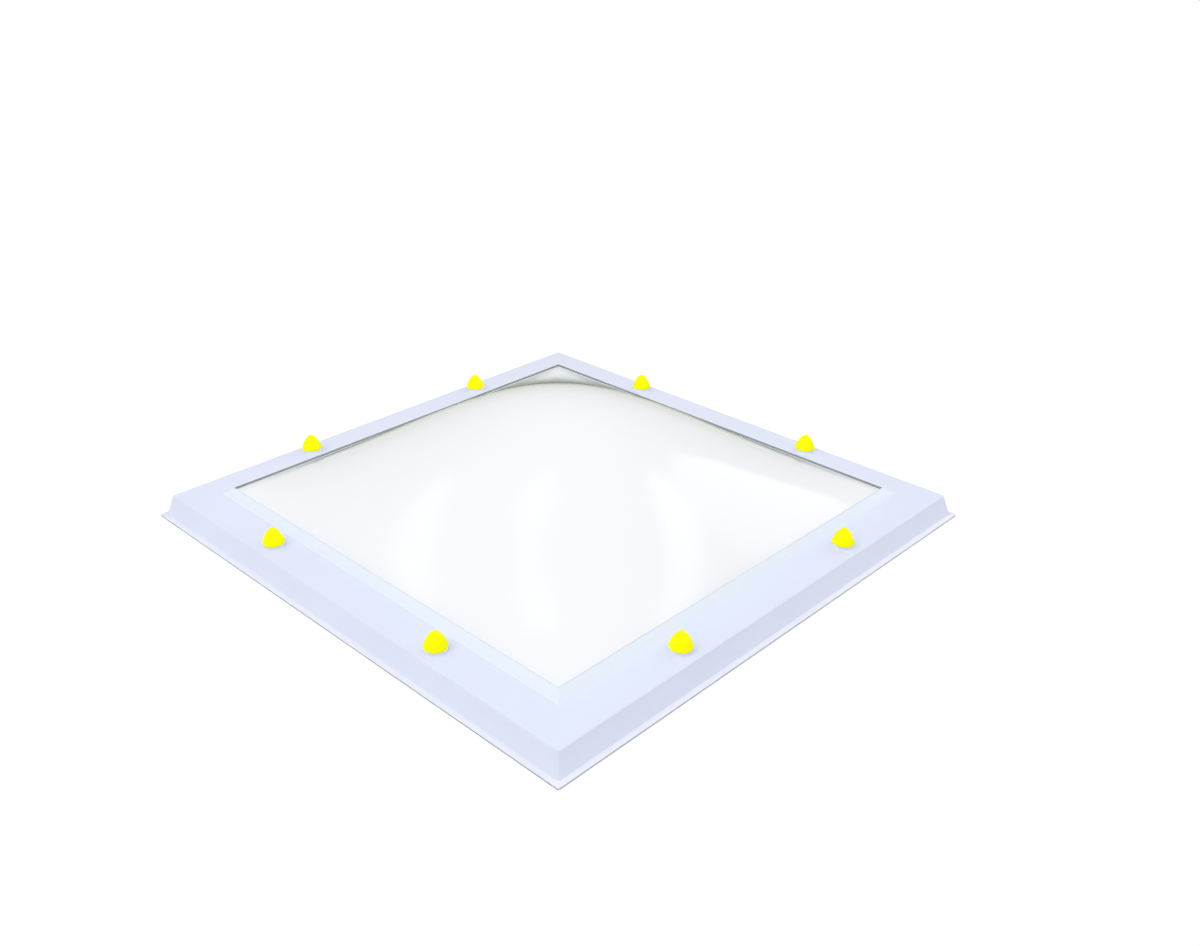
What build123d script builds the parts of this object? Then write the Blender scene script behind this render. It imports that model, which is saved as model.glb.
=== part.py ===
"""Dome skylight: a blown opal dome clipped into a mitred multi-chamber plastic frame.

Millimetres, +Z up. The origin is the centre of the frame at the foot of its outer lip.
A section is drawn as (distance from the centre of the skylight, height).
"""
import os
from math import comb, cos, radians, sin, tan

from build123d import *

os.makedirs("parts", exist_ok=True)

# Frame: clear opening, and the section that is extruded round it
daylight_width = 594.0
frame_face = 58.0
frame_height = 30.5
top_fall = 1.5
skirt_flare = 7.5
lip_reach = 6.5
lip_thickness = 2.5
lip_fall = 0.5
frame_wall = 2.5
rib_wall = 1.8
rib_spread = 24.0
seat_height = 19.5
inner_leg_drop = 10.5
edge_radius = 1.2
tip_radius = 0.8

# Glazing rebate, and the bead that closes it
rebate_depth = 4.0
bead_width = 11.5
bead_height = 9.5
bead_wall = 1.8
bead_radius = 0.6
upstand_wall = 2.5
clip_wall = 1.1
clip_catch = 0.7
clip_height = 1.1
clip_clearance = 0.2
tape_thickness = 1.5
tape_margin = 1.5
gasket_width = 1.0
gasket_depth = 3.0
gasket_lip = 2.4

# Dome, one sheet with a turned edge
sheet_thickness = 3.0
dome_rise = 120.6
dome_squareness = 4.0
net_spans = 8
shoulder_height = 5.8
flange_clearance = 0.9

# Seal between the frame and the roof kerb
seal_thickness = 3.0
seal_width = 20.0
seal_setback = 6.5

# Hexagon screws, in pairs along each side, with sealing washers
fixing_inset = 22.0
fixing_spacing = 303.0
thread_radius = 3.0
thread_gap = 1.0
shank_radius = 2.6
screw_reach = 17.5
screw_tip = 4.0
head_flats = 10.0
head_height = 4.0
hole_clearance = 0.3
washer_radius = 9.5
washer_thickness = 4.4

# Caps pushed onto the screw heads, heights above the washer
cap_foot_radius = 11.6
cap_radius = 13.6
cap_belly_height = 1.7
cap_flank_radius = 11.6
cap_flank_height = 9.4
cap_crown_radius = 5.4
cap_height = 20.1
cap_wall = 1.6
cap_crown_wall = 3.0
cap_hollow_height = 12.3
socket_wall = 1.4
socket_clearance = 0.35
bore_radius = 2.8

# Distances from the centre that the sizes above give
inner_face = daylight_width / 2
top_edge = inner_face + frame_face
skirt_foot = top_edge + skirt_flare
lip_edge = skirt_foot + lip_reach
leg_back = inner_face + frame_wall
bead_foot = inner_face + bead_width
rebate_edge = bead_foot - upstand_wall
clip_face = rebate_edge - clip_clearance
clip_back = clip_face - clip_wall
flange_edge = clip_back - flange_clearance
shoulder_face = inner_face - gasket_width
fixing_line = top_edge - fixing_inset

# Heights that the sizes above give
top_inner = frame_height + top_fall
rebate_floor = top_inner - rebate_depth
flange_bottom = rebate_floor + tape_thickness
flange_top = flange_bottom + sheet_thickness
dome_foot = flange_top + shoulder_height
bead_top = top_inner + bead_height
seat_top = seat_height + frame_wall
lip_root = lip_thickness + lip_fall
groove_bottom = rebate_floor + clip_height
groove_top = groove_bottom + clip_height

side_angles = {"front": -90, "right": 0, "back": 90, "left": 180}


def outward(angle):
    """Unit vector from the centre towards one side."""
    return Vector(1, 0, 0).rotate(Axis.Z, angle)


def section_plane(angle):
    """Plane across one side of the frame: x points outwards, y up."""
    return Plane(origin=(0, 0, 0), x_dir=outward(angle), z_dir=outward(angle - 90))


def skirt_outside(height):
    """Distance of the leaning outer face of the skirt at a height."""
    return top_edge + skirt_flare * (frame_height - height) / (frame_height - lip_root)


def skirt_inside(height):
    """The skirt's inner face, one wall behind the outer face."""
    lean = skirt_flare / (frame_height - lip_root)
    return skirt_outside(height) - frame_wall * (1 + lean ** 2) ** 0.5


def top_face(distance):
    """Height of the frame's top face, which falls gently outwards."""
    return frame_height + top_fall * (top_edge - distance) / (top_edge - bead_foot)


def under_top(distance):
    """Height of the underside of the frame's top wall."""
    return top_face(distance) - frame_wall


def bead_underside(distance):
    """Height of the underside of the bead's sloping cover."""
    slope = bead_height / bead_width
    return bead_top - (distance - inner_face) * slope - bead_wall * (1 + slope ** 2) ** 0.5


def mitred(section, angle, chambers=(), rounds=()):
    """One side made from its section, cut at both ends on the diagonals."""
    with BuildPart() as member:
        with BuildSketch(section_plane(angle)) as profile:
            with BuildLine():
                Polyline(*section, close=True)
            make_face()
            for corner, radius in rounds:
                fillet(profile.vertices().sort_by_distance((*corner, 0))[0], radius)
            for chamber in chambers:
                with BuildLine():
                    Polyline(*chamber, close=True)
                make_face(mode=Mode.SUBTRACT)
        extrude(amount=lip_edge + frame_wall, both=True)
        for turn in (-45, 45):
            split(bisect_by=Plane(origin=(0, 0, 0), z_dir=outward(angle + turn)), keep=Keep.TOP)
    return member


# Frame section, with the rebate and the groove that the bead clips into
frame_outline = [
    (inner_face, seat_height - inner_leg_drop),
    (leg_back, seat_height - inner_leg_drop),
    (leg_back, seat_height),
    (skirt_inside(seat_height), seat_height),
    (skirt_inside(0), 0),
    (lip_edge, 0),
    (lip_edge, lip_thickness),
    (skirt_foot, lip_root),
    (top_edge, frame_height),
    (bead_foot, top_inner),
    (rebate_edge, top_inner),
    (rebate_edge, groove_top),
    (rebate_edge + clip_catch, groove_top),
    (rebate_edge + clip_catch, groove_bottom),
    (rebate_edge, groove_bottom),
    (rebate_edge, rebate_floor),
    (inner_face, rebate_floor),
]
frame_rounds = [
    ((top_edge, frame_height), edge_radius),
    ((lip_edge, lip_thickness), tip_radius),
    ((lip_edge, 0), tip_radius),
    ((inner_face, seat_height - inner_leg_drop), tip_radius),
    ((inner_face, rebate_floor), tip_radius),
]

# Chambers of the frame section, from the rebate outwards, with a rib each side of the screws
rib_inner = fixing_line - rib_spread / 2
rib_outer = fixing_line + rib_spread / 2
rebate_chamber = [
    (leg_back, seat_top),
    (bead_foot, seat_top),
    (bead_foot, rebate_floor - frame_wall),
    (leg_back, rebate_floor - frame_wall),
]
inner_chamber = [
    (bead_foot + rib_wall, seat_top),
    (rib_inner - rib_wall, seat_top),
    (rib_inner - rib_wall, under_top(rib_inner - rib_wall)),
    (bead_foot + rib_wall, under_top(bead_foot + rib_wall)),
]
screw_chamber = [
    (rib_inner, seat_top),
    (rib_outer, seat_top),
    (rib_outer, under_top(rib_outer)),
    (rib_inner, under_top(rib_inner)),
]
outer_chamber = [
    (rib_outer + rib_wall, seat_top),
    (skirt_inside(seat_top), seat_top),
    (skirt_inside(frame_height - frame_wall), frame_height - frame_wall),
    (rib_outer + rib_wall, under_top(rib_outer + rib_wall)),
]
frame_chambers = [rebate_chamber, inner_chamber, screw_chamber, outer_chamber]

# Bead section: sloping cover, nose leg over the dome's flange, barbed leg in the groove
bead_outline = [
    (inner_face, bead_top),
    (inner_face, flange_top + clip_clearance),
    (inner_face + bead_wall, flange_top + clip_clearance),
    (inner_face + bead_wall, bead_underside(inner_face + bead_wall)),
    (clip_back, bead_underside(clip_back)),
    (clip_back, groove_bottom - clip_clearance),
    (clip_face, groove_bottom + clip_clearance),
    (rebate_edge + clip_catch - clip_clearance, groove_top - 2 * clip_clearance),
    (clip_face, groove_top - clip_clearance),
    (clip_face, top_inner),
    (bead_foot, top_inner),
]
bead_rounds = [((inner_face, bead_top), bead_radius)]

# Soft lip that fills the gap between the bead's nose and the dome's shoulder
gasket_outline = [
    (shoulder_face, dome_foot),
    (shoulder_face, dome_foot - gasket_depth),
    (inner_face, dome_foot - gasket_depth),
    (inner_face, dome_foot + gasket_lip),
]

# Seal on the underside of the seat
seal_inner = leg_back + seal_setback
seal_outline = [
    (seal_inner, seat_height),
    (seal_inner, seat_height - seal_thickness),
    (seal_inner + seal_width, seat_height - seal_thickness),
    (seal_inner + seal_width, seat_height),
]


def fixing_points(angle):
    """The two screw positions of one side, at height zero."""
    along = outward(angle - 90) * fixing_spacing / 2
    centre = outward(angle) * fixing_line
    return [centre - along, centre + along]


def seat_planes(angle):
    """Planes on the sloping top face at the two screw positions, facing up."""
    fall = Vector(top_edge - bead_foot, 0, -top_fall).rotate(Axis.Z, angle)
    normal = outward(angle - 90).cross(fall)
    lift = Vector(0, 0, top_face(fixing_line))
    return [Plane(origin=point + lift, x_dir=fall, z_dir=normal) for point in fixing_points(angle)]


# Frame sides, each drilled for its two screws through the top wall and the seat
for side, angle in side_angles.items():
    member = mitred(frame_outline, angle, frame_chambers, frame_rounds)
    with BuildPart() as frame_side:
        add(member.part)
        with BuildSketch(Plane.XY.offset(seat_height)):
            with Locations(*fixing_points(angle)):
                Circle(thread_radius + hole_clearance)
        extrude(amount=top_inner - seat_height, mode=Mode.SUBTRACT)
    frame_side.part.label = "frame_" + side
    export_step(frame_side.part, "parts/frame_" + side + ".step")

# Beads
for side, angle in side_angles.items():
    bead = mitred(bead_outline, angle, rounds=bead_rounds)
    bead.part.label = "bead_" + side
    export_step(bead.part, "parts/bead_" + side + ".step")

# Soft lips of the beads
for side, angle in side_angles.items():
    bead_gasket = mitred(gasket_outline, angle)
    bead_gasket.part.label = "bead_gasket_" + side
    export_step(bead_gasket.part, "parts/bead_gasket_" + side + ".step")

# Kerb seals
for side, angle in side_angles.items():
    kerb_seal = mitred(seal_outline, angle)
    kerb_seal.part.label = "kerb_seal_" + side
    export_step(kerb_seal.part, "parts/kerb_seal_" + side + ".step")


def net_level(row, column):
    """Height of one control point: a cone over a rounded square, one unit at its tip."""
    u = abs(2 * row / net_spans - 1)
    v = abs(2 * column / net_spans - 1)
    spread = (u ** dome_squareness + v ** dome_squareness) ** (1 / dome_squareness)
    return max(0, 1 - spread)


def crown_share():
    """Height that the surface over such a net reaches at its centre."""
    total = 0
    for row in range(net_spans + 1):
        for column in range(net_spans + 1):
            total += comb(net_spans, row) * comb(net_spans, column) * net_level(row, column)
    return total / 4 ** net_spans


def dome_surface(half_width, foot):
    """Blown surface over a square, with straight level edges."""
    peak = dome_rise / crown_share()
    net = []
    for row in range(net_spans + 1):
        x = half_width * (2 * row / net_spans - 1)
        line = []
        for column in range(net_spans + 1):
            y = half_width * (2 * column / net_spans - 1)
            line.append((x, y, foot + peak * net_level(row, column)))
        net.append(line)
    return Face.make_bezier_surface(net)


# Dome sheet: blown surface, short shoulder and flat flange in one moulding
inside_face = shoulder_face - sheet_thickness
drop = dome_rise + dome_foot - flange_bottom + sheet_thickness
with BuildPart() as dome_skin:
    extrude(dome_surface(shoulder_face, dome_foot), amount=drop, dir=(0, 0, -1))
    inner_surface = dome_surface(inside_face, dome_foot - sheet_thickness)
    extrude(inner_surface, amount=drop, dir=(0, 0, -1), mode=Mode.SUBTRACT)
    split(bisect_by=Plane.XY.offset(flange_bottom), keep=Keep.TOP)
    with BuildSketch(Plane.XY.offset(flange_bottom)):
        Rectangle(2 * flange_edge, 2 * flange_edge)
        Rectangle(2 * inside_face, 2 * inside_face, mode=Mode.SUBTRACT)
    extrude(amount=sheet_thickness)
dome_skin.part.label = "dome_skin"
export_step(dome_skin.part, "parts/dome_skin.step")

# Seating tape under the dome's flange
tape_outer = flange_edge - tape_margin
tape_inner = inner_face + tape_margin
with BuildPart() as dome_seat_tape:
    with BuildSketch(Plane.XY.offset(rebate_floor)):
        Rectangle(2 * tape_outer, 2 * tape_outer)
        Rectangle(2 * tape_inner, 2 * tape_inner, mode=Mode.SUBTRACT)
    extrude(amount=tape_thickness)
dome_seat_tape.part.label = "dome_seat_tape"
export_step(dome_seat_tape.part, "parts/dome_seat_tape.step")

# One washer with its underside pressed to the sloping top face, drawn for the right-hand side
sink = Plane(origin=(0, 0, 0), z_dir=(top_fall, 0, top_edge - bead_foot))
with BuildPart() as washer:
    with BuildSketch(Plane.XY.offset(-washer_thickness)):
        Circle(washer_radius)
        Circle(thread_radius + hole_clearance, mode=Mode.SUBTRACT)
    extrude(amount=2 * washer_thickness)
    split(bisect_by=sink, keep=Keep.TOP)

# One screw, with its origin where its axis crosses the frame's top face
tip_level = seat_height - screw_reach - top_face(fixing_line)
thread_level = seat_height - thread_gap - top_face(fixing_line)
with BuildPart() as screw:
    with BuildSketch(Plane.XY.offset(washer_thickness)):
        RegularPolygon(head_flats / 2, 6, major_radius=False)
    extrude(amount=head_height)
    with BuildSketch(Plane.XZ):
        with BuildLine():
            Polyline(
                (0, washer_thickness),
                (shank_radius, washer_thickness),
                (shank_radius, thread_level),
                (thread_radius, thread_level),
                (thread_radius, tip_level + screw_tip),
                (0, tip_level),
                close=True,
            )
        make_face()
    revolve(axis=Axis.Z)

# One cap: bulging outside, and inside it a socket for the screw head in a tube
socket_radius = head_flats / 3 ** 0.5 + socket_clearance
socket_top = head_height + socket_clearance
tube_radius = socket_radius + socket_wall
with BuildPart() as cap:
    with BuildSketch(Plane.XZ):
        with BuildLine():
            Bezier(
                (cap_radius, cap_belly_height),
                (cap_flank_radius, cap_flank_height),
                (cap_crown_radius, cap_height),
                (0, cap_height),
            )
            Polyline(
                (cap_radius, cap_belly_height),
                (cap_foot_radius, 0),
                (cap_foot_radius - cap_wall, 0),
                (cap_radius - cap_wall, cap_belly_height),
                (tube_radius, cap_hollow_height),
                (tube_radius, socket_clearance),
                (socket_radius, socket_clearance),
                (socket_radius, socket_top),
                (bore_radius, cap_height - cap_crown_wall),
                (0, cap_height - cap_crown_wall),
                (0, cap_height),
            )
        make_face()
    revolve(axis=Axis.Z)

# Washers and screws stand upright, the caps square to the sloping face
seats = []
upright = []
for angle in side_angles.values():
    for seat in seat_planes(angle):
        seats.append(seat.offset(washer_thickness))
        upright.append(Plane(origin=seat.origin, x_dir=outward(angle)))

with BuildPart() as washers:
    with Locations(*upright):
        add(washer.part)
washers.part.label = "washers"
export_step(washers.part, "parts/washers.step")

with BuildPart() as screws:
    with Locations(*upright):
        add(screw.part)
screws.part.label = "screws"
export_step(screws.part, "parts/screws.step")

with BuildPart() as caps:
    with Locations(*seats):
        add(cap.part)
caps.part.label = "caps"
export_step(caps.part, "parts/caps.step")
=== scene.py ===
"""Looks of the dome skylight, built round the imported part. Metres, +Z up."""

from math import comb, cos, pi, radians, sin, tan

import bmesh
import bpy
from mathutils import Matrix, Vector


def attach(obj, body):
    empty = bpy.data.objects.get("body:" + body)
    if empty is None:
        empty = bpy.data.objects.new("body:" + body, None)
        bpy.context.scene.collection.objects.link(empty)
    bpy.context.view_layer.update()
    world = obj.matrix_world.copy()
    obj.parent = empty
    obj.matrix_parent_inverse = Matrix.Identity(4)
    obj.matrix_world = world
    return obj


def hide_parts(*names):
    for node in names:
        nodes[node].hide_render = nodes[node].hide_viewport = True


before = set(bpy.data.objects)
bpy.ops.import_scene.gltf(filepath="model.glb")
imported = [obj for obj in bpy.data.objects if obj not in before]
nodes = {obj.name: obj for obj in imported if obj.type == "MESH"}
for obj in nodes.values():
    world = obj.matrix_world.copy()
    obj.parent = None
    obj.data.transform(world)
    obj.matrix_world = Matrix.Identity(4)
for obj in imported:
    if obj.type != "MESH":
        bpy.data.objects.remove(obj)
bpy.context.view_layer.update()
scene = bpy.context.scene

# Sizes of the part: distances from its centre, and heights above the foot of its lip
TOP_EDGE = 0.355
FRAME_HEIGHT = 0.0305
TOP_INNER = 0.032
INNER_FACE = 0.297
BEAD_FOOT = 0.3085
SKIRT_FOOT = 0.3625
LIP_EDGE = 0.369
FIXING_LINE = 0.333
FIXING_HALF = 0.1515
TOP_SLOPE = (TOP_INNER - FRAME_HEIGHT) / (TOP_EDGE - BEAD_FOOT)
SIDE_ANGLES = {"front": -90, "right": 0, "back": 90, "left": 180}
SIDES = tuple(SIDE_ANGLES)


def outward(angle):
    """Unit vector from the centre towards one side."""
    return Vector((cos(radians(angle)), sin(radians(angle)), 0))


def top_face(distance):
    """Height of the frame's sloping top face."""
    return FRAME_HEIGHT + TOP_SLOPE * (TOP_EDGE - distance)


def add_piece(mesh, name, material, sharp):
    """Makes a piece of the part from a finished mesh, with edges over sharp degrees kept hard."""
    mesh.normal_update()
    data = bpy.data.meshes.new(name)
    mesh.to_mesh(data)
    mesh.free()
    for face in data.polygons:
        face.use_smooth = True
    data.set_sharp_from_angle(angle=radians(sharp))
    data.materials.append(material)
    piece = bpy.data.objects.new(name, data)
    scene.collection.objects.link(piece)
    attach(piece, "root")
    return piece


# Materials: soft clouds vary their colour and gloss, and a fine grain gives them relief
CLOUD_LOW = 0.35
CLOUD_HIGH = 0.65
GLOSS_LOW = 0.9
GLOSS_HIGH = 1.12
GRAIN_SCALE = 2600
GRAIN_DEPTH = 0.00005
FOAM_SCALE = 900
FOAM_DEPTH = 0.0004


def new_material(name):
    """A material with its node tree, and the shader in it."""
    material = bpy.data.materials.new(name)
    material.use_nodes = True
    tree = material.node_tree
    return material, tree, tree.nodes["Principled BSDF"]


def noise(tree, scale, detail):
    """Noise in the part's own coordinates."""
    place = tree.nodes.new("ShaderNodeTexCoord")
    node = tree.nodes.new("ShaderNodeTexNoise")
    node.inputs["Scale"].default_value = scale
    node.inputs["Detail"].default_value = detail
    tree.links.new(place.outputs["Object"], node.inputs["Vector"])
    return node.outputs["Fac"]


def ramp(tree, source, first, last):
    """A blend between two colours over a value, each end given as (position, colour)."""
    node = tree.nodes.new("ShaderNodeValToRGB")
    tree.links.new(source, node.inputs["Fac"])
    for element, (position, colour) in zip(node.color_ramp.elements, (first, last)):
        element.position = position
        element.color = (*colour, 1)
    return node.outputs["Color"]


def bump(tree, shader, source, strength, distance):
    """Fine relief in the finish."""
    node = tree.nodes.new("ShaderNodeBump")
    node.inputs["Strength"].default_value = strength
    node.inputs["Distance"].default_value = distance
    tree.links.new(source, node.inputs["Height"])
    tree.links.new(node.outputs["Normal"], shader.inputs["Normal"])


def mixed(tree, share, first, second):
    """A mix of two shaders."""
    node = tree.nodes.new("ShaderNodeMixShader")
    tree.links.new(share, node.inputs["Fac"])
    tree.links.new(first, node.inputs[1])
    tree.links.new(second, node.inputs[2])
    return node.outputs["Shader"]


def plastic(name, dark, light, roughness, scale, relief):
    """Moulded or extruded plastic: a little uneven in colour and gloss, with fine relief."""
    material, tree, shader = new_material(name)
    shader.inputs["IOR"].default_value = 1.5
    cloud = noise(tree, scale, detail=3.0)
    tone = ramp(tree, cloud, (CLOUD_LOW, dark), (CLOUD_HIGH, light))
    tree.links.new(tone, shader.inputs["Base Color"])
    gloss = tree.nodes.new("ShaderNodeMapRange")
    gloss.inputs["To Min"].default_value = roughness * GLOSS_LOW
    gloss.inputs["To Max"].default_value = roughness * GLOSS_HIGH
    tree.links.new(cloud, gloss.inputs["Value"])
    tree.links.new(gloss.outputs["Result"], shader.inputs["Roughness"])
    grain = noise(tree, GRAIN_SCALE, detail=2.0)
    bump(tree, shader, grain, relief, GRAIN_DEPTH)
    return material


def yellow():
    """Bright yellow moulding with little gloss, and a painted glow: a faint emission of its own lifts
    its shaded side, so that it stays yellow.
    """
    material = plastic(
        "cap_yellow", (0.97, 0.955, 0.001), (0.99, 0.975, 0.002), roughness=0.45, scale=90, relief=0.2
    )
    shader = material.node_tree.nodes["Principled BSDF"]
    shader.inputs["Specular IOR Level"].default_value = 0.08
    # Painted glow: the cap is no lamp, and this emission lifts its shade
    shader.inputs["Emission Color"].default_value = (1.0, 0.98, 0.001, 1)
    shader.inputs["Emission Strength"].default_value = 0.12
    return material


def steel():
    """Zinc-plated steel."""
    material = plastic(
        "screw_steel", (0.50, 0.50, 0.51), (0.60, 0.60, 0.61), roughness=0.30, scale=260, relief=0.3
    )
    material.node_tree.nodes["Principled BSDF"].inputs["Metallic"].default_value = 1.0
    return material


def foam():
    """Closed-cell foam: dark, with open cells cut by the slitting knife."""
    material, tree, shader = new_material("seal_foam")
    shader.inputs["Roughness"].default_value = 0.85
    cells = tree.nodes.new("ShaderNodeTexVoronoi")
    cells.inputs["Scale"].default_value = FOAM_SCALE
    place = tree.nodes.new("ShaderNodeTexCoord")
    tree.links.new(place.outputs["Object"], cells.inputs["Vector"])
    hollow = cells.outputs["Distance"]
    tone = ramp(tree, hollow, (0.0, (0.012, 0.012, 0.013)), (0.6, (0.04, 0.04, 0.042)))
    tree.links.new(tone, shader.inputs["Base Color"])
    bump(tree, shader, hollow, strength=0.8, distance=FOAM_DEPTH)
    return material


def opal():
    """Opal sheet: milky body under a clear gloss, with greyer reflections at grazing angles."""
    material, tree, shader = new_material("dome_opal")
    cloud = noise(tree, scale=5, detail=2.0)
    tone = ramp(tree, cloud, (CLOUD_LOW, (0.94, 0.952, 0.985)), (CLOUD_HIGH, (0.95, 0.96, 0.99)))
    tree.links.new(tone, shader.inputs["Base Color"])
    shader.inputs["Roughness"].default_value = 0.13
    shader.inputs["IOR"].default_value = 1.49
    shader.inputs["Specular IOR Level"].default_value = 0.35
    sheen = tree.nodes.new("ShaderNodeBsdfGlossy")
    sheen.inputs["Color"].default_value = (0.40, 0.435, 0.33, 1)
    sheen.inputs["Roughness"].default_value = 0.16
    fresnel = tree.nodes.new("ShaderNodeFresnel")
    fresnel.inputs["IOR"].default_value = 1.12
    both = mixed(tree, fresnel.outputs["Fac"], shader.outputs["BSDF"], sheen.outputs["BSDF"])
    tree.links.new(both, tree.nodes["Material Output"].inputs["Surface"])
    return material


frame_plastic = plastic(
    "frame_plastic", (0.764, 0.818, 0.970), (0.777, 0.831, 0.981), roughness=0.32, scale=9, relief=0.06
)
bead_plastic = plastic(
    "bead_plastic", (0.825, 0.893, 0.992), (0.84, 0.908, 0.997), roughness=0.22, scale=9, relief=0.06
)
# Painted light and shade on the frame's lip: a whiter copy of the frame's plastic lightens the lip, and
# a near-black one paints a shade line on the chamfer under it
lip_painted_light = plastic(
    "lip_painted_light", (0.825, 0.845, 0.955), (0.84, 0.86, 0.965), roughness=0.3, scale=9, relief=0.06
)
lip_painted_shade = plastic(
    "lip_painted_shade", (0.045, 0.05, 0.055), (0.065, 0.07, 0.075), roughness=0.6, scale=40, relief=0.3
)
gasket_rubber = plastic(
    "gasket_rubber", (0.28, 0.31, 0.29), (0.32, 0.35, 0.33), roughness=0.65, scale=60, relief=0.3
)
washer_plastic = plastic(
    "washer_plastic", (0.88, 0.91, 0.97), (0.90, 0.93, 0.98), roughness=0.35, scale=60, relief=0.2
)
cap_yellow = yellow()
screw_steel = steel()
seal_foam = foam()
dome_opal = opal()


def dress(node, material):
    """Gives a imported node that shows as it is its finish."""
    piece = nodes[node]
    piece.data.materials.clear()
    piece.data.materials.append(material)


for side in SIDES:
    dress("bead_" + side, bead_plastic)
    dress("kerb_seal_" + side, seal_foam)
dress("dome_seat_tape", seal_foam)

# Dome: the same blown surface as the solid, drawn with a fine mesh
NET = 8
SQUARENESS = 4
DOME_STEPS = 120
DOME_RISE = 0.1206
DOME_FOOT = 0.0383
SHEET = 0.003
SHOULDER = 0.296
FLANGE_EDGE = 0.3038
FLANGE_TOP = 0.0325
FLANGE_BOTTOM = FLANGE_TOP - SHEET


def net_level(row, column):
    """Height of one control point: a cone over a rounded square, one unit at its tip."""
    u = abs(2 * row / NET - 1)
    v = abs(2 * column / NET - 1)
    return max(0.0, 1 - (u ** SQUARENESS + v ** SQUARENESS) ** (1 / SQUARENESS))


def blend_weights(t):
    """Weights of the control points along one direction."""
    return [comb(NET, i) * t ** i * (1 - t) ** (NET - i) for i in range(NET + 1)]


LEVELS = [[net_level(row, column) for column in range(NET + 1)] for row in range(NET + 1)]
MIDDLE = blend_weights(0.5)
CROWN = sum(MIDDLE[i] * MIDDLE[j] * LEVELS[i][j] for i in range(NET + 1) for j in range(NET + 1))


def dome_grid(half, foot):
    """Points of a blown surface over a square, row by row."""
    peak = DOME_RISE / CROWN
    line = [half * (2 * k / DOME_STEPS - 1) for k in range(DOME_STEPS + 1)]
    weights = [blend_weights(k / DOME_STEPS) for k in range(DOME_STEPS + 1)]
    columns = [
        [sum(w[j] * LEVELS[i][j] for j in range(NET + 1)) for i in range(NET + 1)] for w in weights
    ]
    rows = []
    for x, across in zip(line, weights):
        row = []
        for y, column in zip(line, columns):
            level = sum(across[i] * column[i] for i in range(NET + 1))
            row.append((x, y, foot + peak * level))
        rows.append(row)
    return rows


def dome_square(half, height):
    """Points round a square, in the order of the grid's rim."""
    line = [half * (2 * k / DOME_STEPS - 1) for k in range(DOME_STEPS)]
    points = [(-half, y, height) for y in line]
    points += [(x, half, height) for x in line]
    points += [(half, -y, height) for y in line]
    points += [(-x, -half, height) for x in line]
    return points


def dome_face(mesh, half, foot, inside):
    """Adds one face of the sheet to the mesh, and gives the vertices round its rim."""
    verts = [[mesh.verts.new(point) for point in row] for row in dome_grid(half, foot)]
    for a in range(DOME_STEPS):
        for b in range(DOME_STEPS):
            quad = [verts[a][b], verts[a + 1][b], verts[a + 1][b + 1], verts[a][b + 1]]
            mesh.faces.new(quad[::-1] if inside else quad)
    rim = [verts[0][b] for b in range(DOME_STEPS)]
    rim += [verts[a][DOME_STEPS] for a in range(DOME_STEPS)]
    rim += [verts[DOME_STEPS][b] for b in range(DOME_STEPS, 0, -1)]
    rim += [verts[a][0] for a in range(DOME_STEPS, 0, -1)]
    return rim


def build_dome():
    """Closed sheet: outside, shoulder, flange and inside in one mesh."""
    mesh = bmesh.new()
    outer = dome_face(mesh, SHOULDER, DOME_FOOT, inside=False)
    inner = dome_face(mesh, SHOULDER - SHEET, DOME_FOOT - SHEET, inside=True)
    flange = (
        (SHOULDER, FLANGE_TOP),
        (FLANGE_EDGE, FLANGE_TOP),
        (FLANGE_EDGE, FLANGE_BOTTOM),
        (SHOULDER - SHEET, FLANGE_BOTTOM),
    )
    rings = [outer]
    for half, height in flange:
        rings.append([mesh.verts.new(point) for point in dome_square(half, height)])
    rings.append(inner)
    for upper, lower in zip(rings, rings[1:]):
        for k in range(len(upper)):
            n = (k + 1) % len(upper)
            mesh.faces.new([upper[k], upper[n], lower[n], lower[k]])
    piece = add_piece(mesh, "dome_sheet", dome_opal, sharp=50)
    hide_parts("dome_skin")


build_dome()

# Rings: a section carried round the square in one piece
CORNERS = ((1, -1), (1, 1), (-1, 1), (-1, -1))
ROUND_STEPS = 4
ARRIS_ROUND = 0.0020


def eased(section):
    """A closed section of (distance, height, radius) with its corners rounded, as (distance, height)."""
    made = []
    count = len(section)
    for k in range(count):
        x, y, radius = section[k]
        here = Vector((x, y))
        if radius <= 0:
            made.append((here.x, here.y))
            continue
        before = (Vector(section[k - 1][:2]) - here).normalized()
        after = (Vector(section[(k + 1) % count][:2]) - here).normalized()
        half = before.angle(after) / 2
        reach = radius / tan(half)
        centre = here + (before + after).normalized() * (radius / sin(half))
        start = here + before * reach - centre
        end = here + after * reach - centre
        sweep = start.angle_signed(end)
        for step in range(ROUND_STEPS + 1):
            turn = -sweep * step / ROUND_STEPS
            along = centre.x + start.x * cos(turn) - start.y * sin(turn)
            up = centre.y + start.x * sin(turn) + start.y * cos(turn)
            made.append((along, up))
    return made


def keep_within(mesh, section):
    """Moves what a rounding pushed out by a hair back to the section's own reach and floor."""
    reach = max(distance for distance, _ in section)
    floor = min(height for _, height in section)
    for vert in mesh.verts:
        x, y, z = vert.co
        vert.co = (max(-reach, min(reach, x)), max(-reach, min(reach, y)), max(floor, z))


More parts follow.
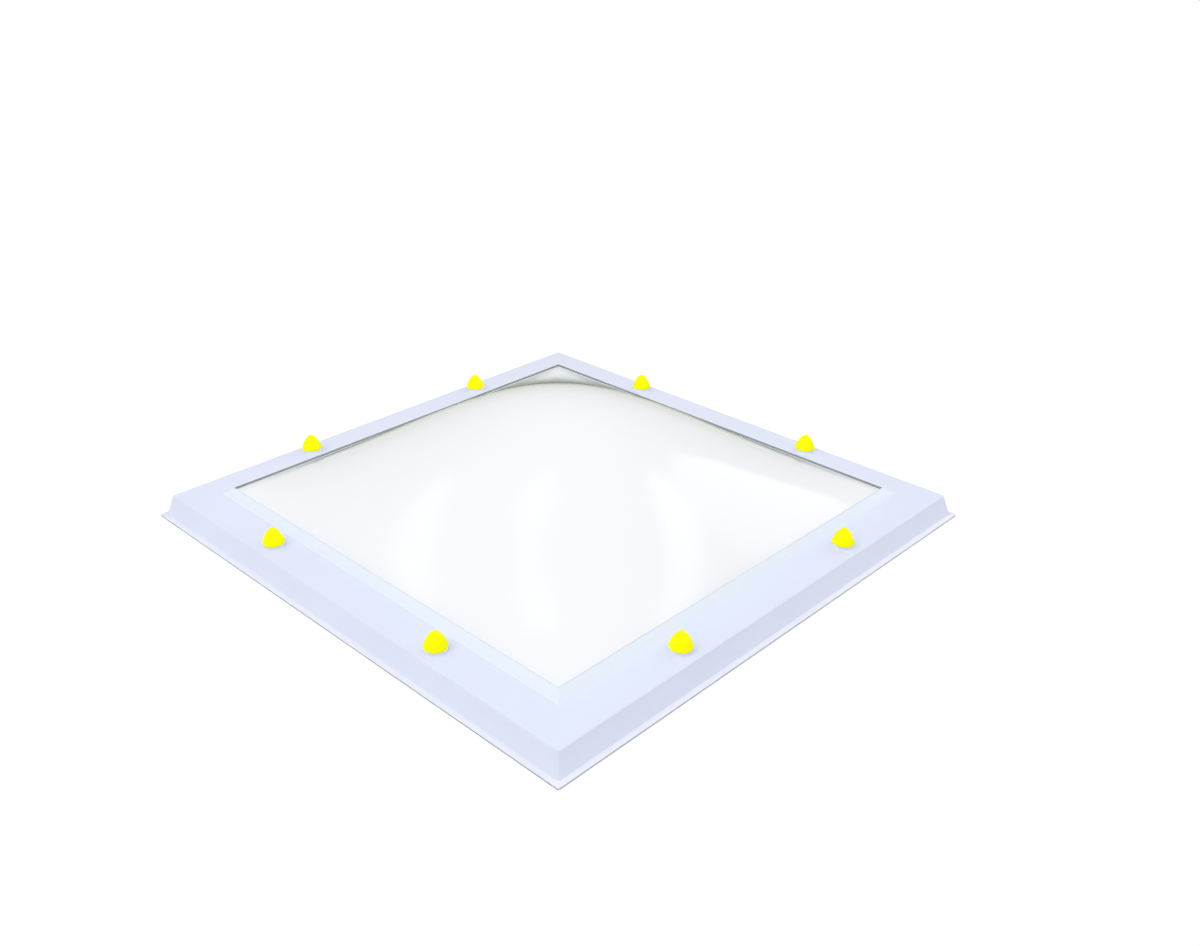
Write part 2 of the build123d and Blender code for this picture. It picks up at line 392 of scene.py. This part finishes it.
def ring_from(section, name, material, has_arris=None):
    """A ring mitred and welded at the corners, which are rounded where a stretch has an arris."""
    mesh = bmesh.new()
    rows = []
    for distance, height in section:
        rows.append([mesh.verts.new((distance * x, distance * y, height)) for x, y in CORNERS])
    count = len(rows)
    for k in range(count):
        low, high = rows[k], rows[(k + 1) % count]
        for corner in range(len(CORNERS)):
            turn = (corner + 1) % len(CORNERS)
            mesh.faces.new([low[corner], low[turn], high[turn], high[corner]])
    bmesh.ops.recalc_face_normals(mesh, faces=mesh.faces)
    if has_arris:
        arrises = []
        for k in range(count):
            n = (k + 1) % count
            if has_arris(section[k], section[n]):
                arrises += [mesh.edges.get(ends) for ends in zip(rows[k], rows[n])]
        bmesh.ops.bevel(
            mesh, geom=arrises, offset=ARRIS_ROUND, segments=ROUND_STEPS, profile=0.5, affect="EDGES"
        )
        keep_within(mesh, section)
        bmesh.ops.recalc_face_normals(mesh, faces=mesh.faces)
    return add_piece(mesh, name, material, sharp=32)


# Frame: the four sides welded into one ring, with its edges and arrises eased
LEG_BACK = 0.2995
LEG_FOOT = 0.0090
SEAT_HEIGHT = 0.0195
REBATE_EDGE = 0.3060
REBATE_FLOOR = 0.0280
CATCH_BACK = 0.3067
CATCH_TOP = 0.0302
CATCH_FOOT = 0.0291
LIP_THICKNESS = 0.0025
LIP_ROOT = 0.0030
CHAMFER_HEIGHT = 0.0013
CHAMFER_DEPTH = 0.0005
SKIRT_WALL = 0.002591
INNER_ROUND = 0.0008
WALL_ROUND = 0.0004
LIP_ROUND = 0.0006
TOP_ROUND = 0.0018
ARRIS_NEAR = 0.3535
ARRIS_FAR = 0.3549
LIP_MARGIN = 0.0008
CHAMFER_STEEP = -0.1
CHAMFER_FLAT = -0.9


def skirt(height):
    """Distance of the skirt's leaning outer face at a height."""
    return TOP_EDGE + (SKIRT_FOOT - TOP_EDGE) * (FRAME_HEIGHT - height) / (FRAME_HEIGHT - LIP_ROOT)


FRAME_SECTION = [
    (INNER_FACE, LEG_FOOT, INNER_ROUND),
    (LEG_BACK, LEG_FOOT, WALL_ROUND),
    (LEG_BACK, SEAT_HEIGHT, WALL_ROUND),
    (skirt(SEAT_HEIGHT) - SKIRT_WALL, SEAT_HEIGHT, WALL_ROUND),
    (skirt(0) - SKIRT_WALL, 0.0, WALL_ROUND),
    (LIP_EDGE - CHAMFER_DEPTH, 0.0, 0.0),
    (LIP_EDGE, CHAMFER_HEIGHT, 0.0),
    (LIP_EDGE, LIP_THICKNESS, LIP_ROUND),
    (SKIRT_FOOT, LIP_ROOT, LIP_ROUND),
    (TOP_EDGE, FRAME_HEIGHT, TOP_ROUND),
    (BEAD_FOOT, TOP_INNER, 0.0),
    (REBATE_EDGE, TOP_INNER, 0.0),
    (REBATE_EDGE, CATCH_TOP, 0.0),
    (CATCH_BACK, CATCH_TOP, 0.0),
    (CATCH_BACK, CATCH_FOOT, 0.0),
    (REBATE_EDGE, CATCH_FOOT, 0.0),
    (REBATE_EDGE, REBATE_FLOOR, 0.0),
    (INNER_FACE, REBATE_FLOOR, INNER_ROUND),
]


def on_skirt(first, second):
    """Whether a stretch of the frame's section is on its skirt, its lip or its rounded top edge."""
    near = min(first[0], second[0])
    far = max(first[0], second[0])
    return near > ARRIS_NEAR and far > ARRIS_FAR


def paint_lip_light_and_shade(mesh):
    """Lip round the foot of the frame in painted light, a whiter copy of the frame's plastic, with a
    painted shade line, near black, on the chamfer under it.
    """
    mesh.materials.append(lip_painted_light)
    mesh.materials.append(lip_painted_shade)
    for face in mesh.polygons:
        corners = [mesh.vertices[index].co for index in face.vertices]
        nearest = min(max(abs(corner.x), abs(corner.y)) for corner in corners)
        highest = max(corner.z for corner in corners)
        if nearest < SKIRT_FOOT - LIP_MARGIN or highest > LIP_ROOT + LIP_MARGIN:
            continue
        # The chamfer under the lip gets the painted shade, and the rest of the lip the painted light
        chamfered = CHAMFER_FLAT < face.normal.z < CHAMFER_STEEP
        face.material_index = 2 if chamfered else 1


frame_ring = ring_from(eased(FRAME_SECTION), "frame_ring", frame_plastic, on_skirt)
paint_lip_light_and_shade(frame_ring.data)
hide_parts(*("frame_" + side for side in SIDES))

# Gasket: the strip between bead and dome, white with a dark soft lip towards the dome
GASKET_DEPTH = 0.003
GASKET_TOP = 0.0419
GASKET_BACK = 0.00035
GASKET_LEAN = 0.0002
DARK_LIP_FOOT = 0.0389
DARK_LIP_REACH = 0.0008
BEAD_ROUND = 0.0006
BEAD_ROUND_FOOT = 0.0402
BEAD_ROUND_TOP = 0.0408
FACING = 0.5

GASKET_SECTION = [
    (SHOULDER, DOME_FOOT),
    (SHOULDER, DOME_FOOT - GASKET_DEPTH),
    (INNER_FACE, DOME_FOOT - GASKET_DEPTH),
    (INNER_FACE, BEAD_ROUND_FOOT),
    (INNER_FACE + BEAD_ROUND, BEAD_ROUND_TOP),
    (INNER_FACE + GASKET_BACK, GASKET_TOP),
    (INNER_FACE - GASKET_LEAN, GASKET_TOP),
    (INNER_FACE - DARK_LIP_REACH, DARK_LIP_FOOT),
]


def finish_gasket(mesh):
    """White strip, apart from the upper face towards the dome."""
    mesh.materials.append(bead_plastic)
    for face in mesh.polygons:
        middle = face.center
        along_x = abs(middle.x) > abs(middle.y)
        out = Vector((middle.x, 0, 0)) if along_x else Vector((0, middle.y, 0))
        towards_dome = face.normal.dot(out.normalized()) < -FACING
        if not towards_dome or middle.z < DARK_LIP_FOOT:
            face.material_index = 1


gasket_ring = ring_from(GASKET_SECTION, "gasket_ring", gasket_rubber)
finish_gasket(gasket_ring.data)
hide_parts(*("bead_gasket_" + side for side in SIDES))

# Turned shapes, and where the eight fixings stand
TURN_STEPS = 96


def turned_ring(mesh, place, points):
    """Vertices round a place's own axis, from the (radius, height) of each."""
    made = []
    for k, (radius, height) in enumerate(points):
        a = 2 * pi * k / len(points)
        made.append(mesh.verts.new(place @ Vector((radius * cos(a), radius * sin(a), height))))
    return made


def turned_band(mesh, upper, lower):
    """Faces between two rings, either of which may be a single point on the axis."""
    count = max(len(upper), len(lower))
    for k in range(count):
        n = (k + 1) % count
        if len(upper) == 1:
            mesh.faces.new([upper[0], lower[k], lower[n]])
        elif len(lower) == 1:
            mesh.faces.new([upper[n], upper[k], lower[0]])
        else:
            mesh.faces.new([upper[n], upper[k], lower[k], lower[n]])


def turned(mesh, profile, place, steps=TURN_STEPS):
    """A turned shape, added to a mesh at a place."""
    rings = []
    for radius, height in profile:
        count = steps if radius else 1
        rings.append(turned_ring(mesh, place, [(radius, height)] * count))
    for upper, lower in zip(rings, rings[1:]):
        turned_band(mesh, upper, lower)


def seat_places(angle):
    """Matrices on the sloping top face at one side's two screws."""
    out = outward(angle)
    along = outward(angle - 90)
    fall = Vector((out.x, out.y, -TOP_SLOPE)).normalized()
    normal = along.cross(fall).normalized()
    across = normal.cross(fall)
    turn = Matrix((fall, across, normal)).transposed().to_4x4()
    places = []
    for sign in (-1, 1):
        point = out * FIXING_LINE + along * (sign * FIXING_HALF)
        point.z = top_face(FIXING_LINE)
        places.append(Matrix.Translation(point) @ turn)
    return places


SEATS = [place for angle in SIDE_ANGLES.values() for place in seat_places(angle)]

# Caps: a turned profile that bulges from its rounded foot to its crown
WASHER_THICKNESS = 0.0044
CAP_FOOT_RADIUS = 0.0116
CAP_FOOT_BEND = (0.0129, 0.0004)
CAP_RADIUS = 0.0136
CAP_BELLY = 0.0017
CAP_BELLY_FOOT = 0.0009
CAP_FLANK = (0.0116, 0.0094)
CAP_CROWN = 0.0054
CAP_HEIGHT = 0.0201
CAP_WALL = 0.0016
CAP_CROWN_WALL = 0.0030
CAP_HOLLOW = 0.0123
SOCKET_RADIUS = 0.006124
SOCKET_WALL = 0.0014
SOCKET_CLEARANCE = 0.00035
SOCKET_TOP = 0.00435
BORE_RADIUS = 0.0028
FLANK_STEPS = 28
BELLY_STEPS = 8


def bezier(points, count):
    """Points along a cubic curve."""
    made = []
    for k in range(count + 1):
        s = k / count
        w = ((1 - s) ** 3, 3 * (1 - s) ** 2 * s, 3 * (1 - s) * s ** 2, s ** 3)
        made.append(tuple(sum(w[i] * points[i][axis] for i in range(4)) for axis in (0, 1)))
    return made


def cap_profile():
    """Outline of the cap from its crown to its rim and up into its socket, as (radius, height)."""
    widest = (CAP_RADIUS, CAP_BELLY)
    flank = [(0, CAP_HEIGHT), (CAP_CROWN, CAP_HEIGHT), CAP_FLANK, widest]
    belly = [widest, (CAP_RADIUS, CAP_BELLY_FOOT), CAP_FOOT_BEND, (CAP_FOOT_RADIUS, 0.0)]
    inside = [
        (CAP_FOOT_RADIUS - CAP_WALL, 0.0),
        (CAP_RADIUS - CAP_WALL, CAP_BELLY),
        (SOCKET_RADIUS + SOCKET_WALL, CAP_HOLLOW),
        (SOCKET_RADIUS + SOCKET_WALL, SOCKET_CLEARANCE),
        (SOCKET_RADIUS, SOCKET_CLEARANCE),
        (SOCKET_RADIUS, SOCKET_TOP),
        (BORE_RADIUS, CAP_HEIGHT - CAP_CROWN_WALL),
        (0.0, CAP_HEIGHT - CAP_CROWN_WALL),
    ]
    return bezier(flank, FLANK_STEPS) + bezier(belly, BELLY_STEPS)[1:] + inside


def build_caps():
    """All eight caps in one piece, which throws no yellow tint on the white plastic round it."""
    mesh = bmesh.new()
    profile = cap_profile()
    for place in SEATS:
        turned(mesh, profile, place @ Matrix.Translation((0, 0, WASHER_THICKNESS)))
    piece = add_piece(mesh, "screw_caps", cap_yellow, sharp=35)
    piece.visible_glossy = False
    piece.visible_diffuse = False
    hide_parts("caps")


build_caps()

# Washers: bored collars that flare from the cap's foot to the frame's top face
COLLAR_FOOT = 0.0126
COLLAR_TOP = 0.0115
COLLAR_ROUND = 0.0004
COLLAR_BORE = 0.0033
WELD_DISTANCE = 1e-6


def build_collars():
    """All eight washers in one piece."""
    mesh = bmesh.new()
    section = [
        (COLLAR_BORE, WASHER_THICKNESS, 0.0),
        (COLLAR_TOP, WASHER_THICKNESS, COLLAR_ROUND),
        (COLLAR_FOOT, 0.0, 0.0),
        (COLLAR_BORE, 0.0, 0.0),
    ]
    profile = eased(section)
    for place in SEATS:
        turned(mesh, profile + profile[:1], place)
    bmesh.ops.remove_doubles(mesh, verts=mesh.verts, dist=WELD_DISTANCE)
    piece = add_piece(mesh, "washer_collars", washer_plastic, sharp=35)
    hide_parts("washers")


build_collars()

# Screws: hexagon heads under the caps, and cut threads that show from below
HEAD_RADIUS = 0.005774
HEAD_HEIGHT = 0.0040
HEAD_CHAMFER = 0.0006
HEAD_FLATS = 6
SHANK_RADIUS = 0.0026
THREAD_RADIUS = 0.0030
CORE_RADIUS = 0.0021
THREAD_PITCH = 0.0024
THREAD_START = 0.0185
RIDGE_HALF = 0.32
SCREW_TIP = 0.0020
TIP_LENGTH = 0.0040
TIP_BLUNT = 0.04
THREAD_STEPS = 32
ROWS_PER_TURN = 12


def thread_radius(height, turn):
    """Radius of the thread at a height and a share of a turn: a sharp ridge that winds downwards."""
    place = (height / THREAD_PITCH + turn) % 1
    ridge = max(0.0, 1 - abs(place - 0.5) / RIDGE_HALF)
    run_out = min(1.0, (THREAD_START - height) / THREAD_PITCH)
    taper = min(1.0, (height - SCREW_TIP) / TIP_LENGTH)
    start = SHANK_RADIUS + (CORE_RADIUS - SHANK_RADIUS) * run_out
    return (start + (THREAD_RADIUS - start) * ridge * run_out) * max(taper, TIP_BLUNT)


def shank_rings(shank_top):
    """Rings down the shank and the thread, as the (radius, height) of each point."""
    rings = [[(SHANK_RADIUS, height)] * THREAD_STEPS for height in (shank_top, THREAD_START)]
    turns = [k / THREAD_STEPS for k in range(THREAD_STEPS)]
    rows = round((THREAD_START - SCREW_TIP) / THREAD_PITCH * ROWS_PER_TURN)
    for row in range(1, rows + 1):
        height = THREAD_START + (SCREW_TIP - THREAD_START) * row / rows
        rings.append([(thread_radius(height, turn), height) for turn in turns])
    return rings


def build_screws():
    """All eight screws in one piece."""
    mesh = bmesh.new()
    head_foot = top_face(FIXING_LINE) + WASHER_THICKNESS
    head_top = head_foot + HEAD_HEIGHT
    head = [
        (0, head_top),
        (HEAD_RADIUS - HEAD_CHAMFER, head_top),
        (HEAD_RADIUS, head_top - HEAD_CHAMFER / 2),
        (HEAD_RADIUS, head_foot),
        (0, head_foot),
    ]
    shank = shank_rings(head_foot + HEAD_CHAMFER)
    for seat in SEATS:
        place = Matrix.Translation((seat.translation.x, seat.translation.y, 0))
        turned(mesh, head, place, HEAD_FLATS)
        rings = [turned_ring(mesh, place, points) for points in shank]
        for upper, lower in zip(rings, rings[1:]):
            turned_band(mesh, upper, lower)
        mesh.faces.new(rings[0])
        mesh.faces.new(rings[-1][::-1])
    piece = add_piece(mesh, "wood_screws", screw_steel, sharp=30)
    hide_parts("screws")


build_screws()

# Floor and backdrop: white to the camera and in reflections, with the part's soft shadow kept
FLOOR_REACH = 9
FLOOR_LEVEL = -0.0003
FLOOR_GREY = 0.86
FLOOR_LIFT = 0.3
SHADOW_REACH = 0.5
SHADOW_END = 1.0
WORLD_STRENGTH = 0.28


def direct_rays(tree):
    """One for camera, glossy and transmission rays, and nought for the rest."""
    rays = tree.nodes.new("ShaderNodeLightPath")
    value = rays.outputs["Is Camera Ray"]
    for kind in ("Is Glossy Ray", "Is Transmission Ray"):
        larger = tree.nodes.new("ShaderNodeMath")
        larger.operation = "MAXIMUM"
        tree.links.new(value, larger.inputs[0])
        tree.links.new(rays.outputs[kind], larger.inputs[1])
        value = larger.outputs[0]
    return value


def floor_material():
    """Pale floor that turns plain white away from the part's shadow."""
    material, tree, shader = new_material("floor_white")
    shader.inputs["Base Color"].default_value = (FLOOR_GREY, FLOOR_GREY, FLOOR_GREY, 1)
    shader.inputs["Roughness"].default_value = 0.9
    shader.inputs["Specular IOR Level"].default_value = 0.0
    glow = tree.nodes.new("ShaderNodeEmission")
    glow.inputs["Strength"].default_value = FLOOR_LIFT
    lifted = tree.nodes.new("ShaderNodeAddShader")
    tree.links.new(shader.outputs["BSDF"], lifted.inputs[0])
    tree.links.new(glow.outputs["Emission"], lifted.inputs[1])
    place = tree.nodes.new("ShaderNodeTexCoord")
    reach = tree.nodes.new("ShaderNodeVectorMath")
    reach.operation = "LENGTH"
    tree.links.new(place.outputs["Object"], reach.inputs[0])
    fade = tree.nodes.new("ShaderNodeMapRange")
    fade.interpolation_type = "SMOOTHSTEP"
    fade.inputs["From Min"].default_value = SHADOW_REACH
    fade.inputs["From Max"].default_value = SHADOW_END
    tree.links.new(reach.outputs["Value"], fade.inputs["Value"])
    white = tree.nodes.new("ShaderNodeEmission")
    seen = mixed(tree, fade.outputs["Result"], lifted.outputs["Shader"], white.outputs["Emission"])
    surface = mixed(tree, direct_rays(tree), shader.outputs["BSDF"], seen)
    tree.links.new(surface, tree.nodes["Material Output"].inputs["Surface"])
    return material


def white_floor():
    """A wide floor just under the part."""
    mesh = bmesh.new()
    mesh.faces.new([mesh.verts.new((FLOOR_REACH * x, FLOOR_REACH * y, FLOOR_LEVEL)) for x, y in CORNERS])
    data = bpy.data.meshes.new("floor")
    mesh.to_mesh(data)
    mesh.free()
    data.materials.append(floor_material())
    floor = bpy.data.objects.new("floor", data)
    scene.collection.objects.link(floor)


def white_world():
    """Dim white light from all round, which the camera and the gloss see as plain white."""
    world = bpy.data.worlds.new("studio")
    world.use_nodes = True
    scene.world = world
    tree = world.node_tree
    dim = tree.nodes["Background"]
    dim.inputs["Color"].default_value = (1.0, 1.0, 1.0, 1)
    dim.inputs["Strength"].default_value = WORLD_STRENGTH
    bright = tree.nodes.new("ShaderNodeBackground")
    bright.inputs["Color"].default_value = (1.0, 1.0, 1.0, 1)
    bright.inputs["Strength"].default_value = 1.0
    surface = mixed(tree, direct_rays(tree), dim.outputs["Background"], bright.outputs["Background"])
    tree.links.new(surface, tree.nodes["World Output"].inputs["Surface"])


white_floor()
white_world()


def towards(azimuth, elevation):
    """Unit vector from the part to a lamp or the camera. Azimuth runs from its front to its right."""
    turn = radians(azimuth)
    rise = radians(elevation)
    return Vector((sin(turn) * cos(rise), -cos(turn) * cos(rise), sin(rise)))


# Lamps, named as the camera sees them
LAMP_DISTANCE = 5.0
LAMP_AIM = Vector((0, 0, 0.03))

# Azimuth, elevation, width, height and power, and whether the dome mirrors the lamp
LAMPS = {
    "left": (0, 50, 3.0, 3.0, 78.0, False),
    "front": (45, 58, 2.4, 3.0, 30.0, False),
    "right": (90, 47, 2.6, 3.0, 22.0, False),
    "fill_right": (125, 48, 3.0, 3.0, 33.0, False),
    "band_right": (165, 48, 1.6, 0.7, 6.0, True),
    "back": (170, 27, 3.0, 3.0, 31.0, True),
    "fill_left": (-45, 50, 3.0, 3.0, 30.0, False),
    "band_left": (-72, 45, 1.9, 0.5, 3.8, True),
    "overhead": (45, 88, 1.3, 1.5, 6.0, False),
    "band_middle": (-107, 73, 1.6, 0.8, 3.8, True),
}


def softbox(name, azimuth, elevation, width, height, power, mirrored):
    """An oval soft light aimed at the part, which shows in gloss only if mirrored."""
    data = bpy.data.lights.new(name, "AREA")
    data.shape = "ELLIPSE"
    data.size = width
    data.size_y = height
    data.energy = power
    lamp = bpy.data.objects.new(name, data)
    scene.collection.objects.link(lamp)
    lamp.location = towards(azimuth, elevation) * LAMP_DISTANCE
    lamp.rotation_mode = "QUATERNION"
    lamp.rotation_quaternion = (LAMP_AIM - lamp.location).to_track_quat("-Z", "Y")
    lamp.visible_glossy = mirrored


for name, values in LAMPS.items():
    softbox(name, *values)

# Camera: over the corner between front and right, with the photograph's lens and framing
CAMERA_AZIMUTH = 45.0
CAMERA_ELEVATION = 28.43
CAMERA_DISTANCE = 1.5825
CAMERA_PITCH = 1.05
CAMERA_LENS = 36.5
CAMERA_SHIFT = 0.0347


def place_camera():
    """Aims at the middle of the frame's top, then tilts up a little."""
    data = bpy.data.cameras.new("camera")
    data.sensor_width = 36
    data.lens = CAMERA_LENS
    data.shift_x = CAMERA_SHIFT
    data.clip_start = 0.01
    data.clip_end = 100
    camera = bpy.data.objects.new("camera", data)
    scene.collection.objects.link(camera)
    back = towards(CAMERA_AZIMUTH, CAMERA_ELEVATION)
    camera.location = Vector((0, 0, FRAME_HEIGHT)) + back * CAMERA_DISTANCE
    camera.rotation_mode = "QUATERNION"
    level = (-back).to_track_quat("-Z", "Y").to_matrix()
    camera.rotation_quaternion = (level @ Matrix.Rotation(radians(CAMERA_PITCH), 3, "X")).to_quaternion()
    scene.camera = camera


place_camera()

scene.view_settings.view_transform = "Standard"
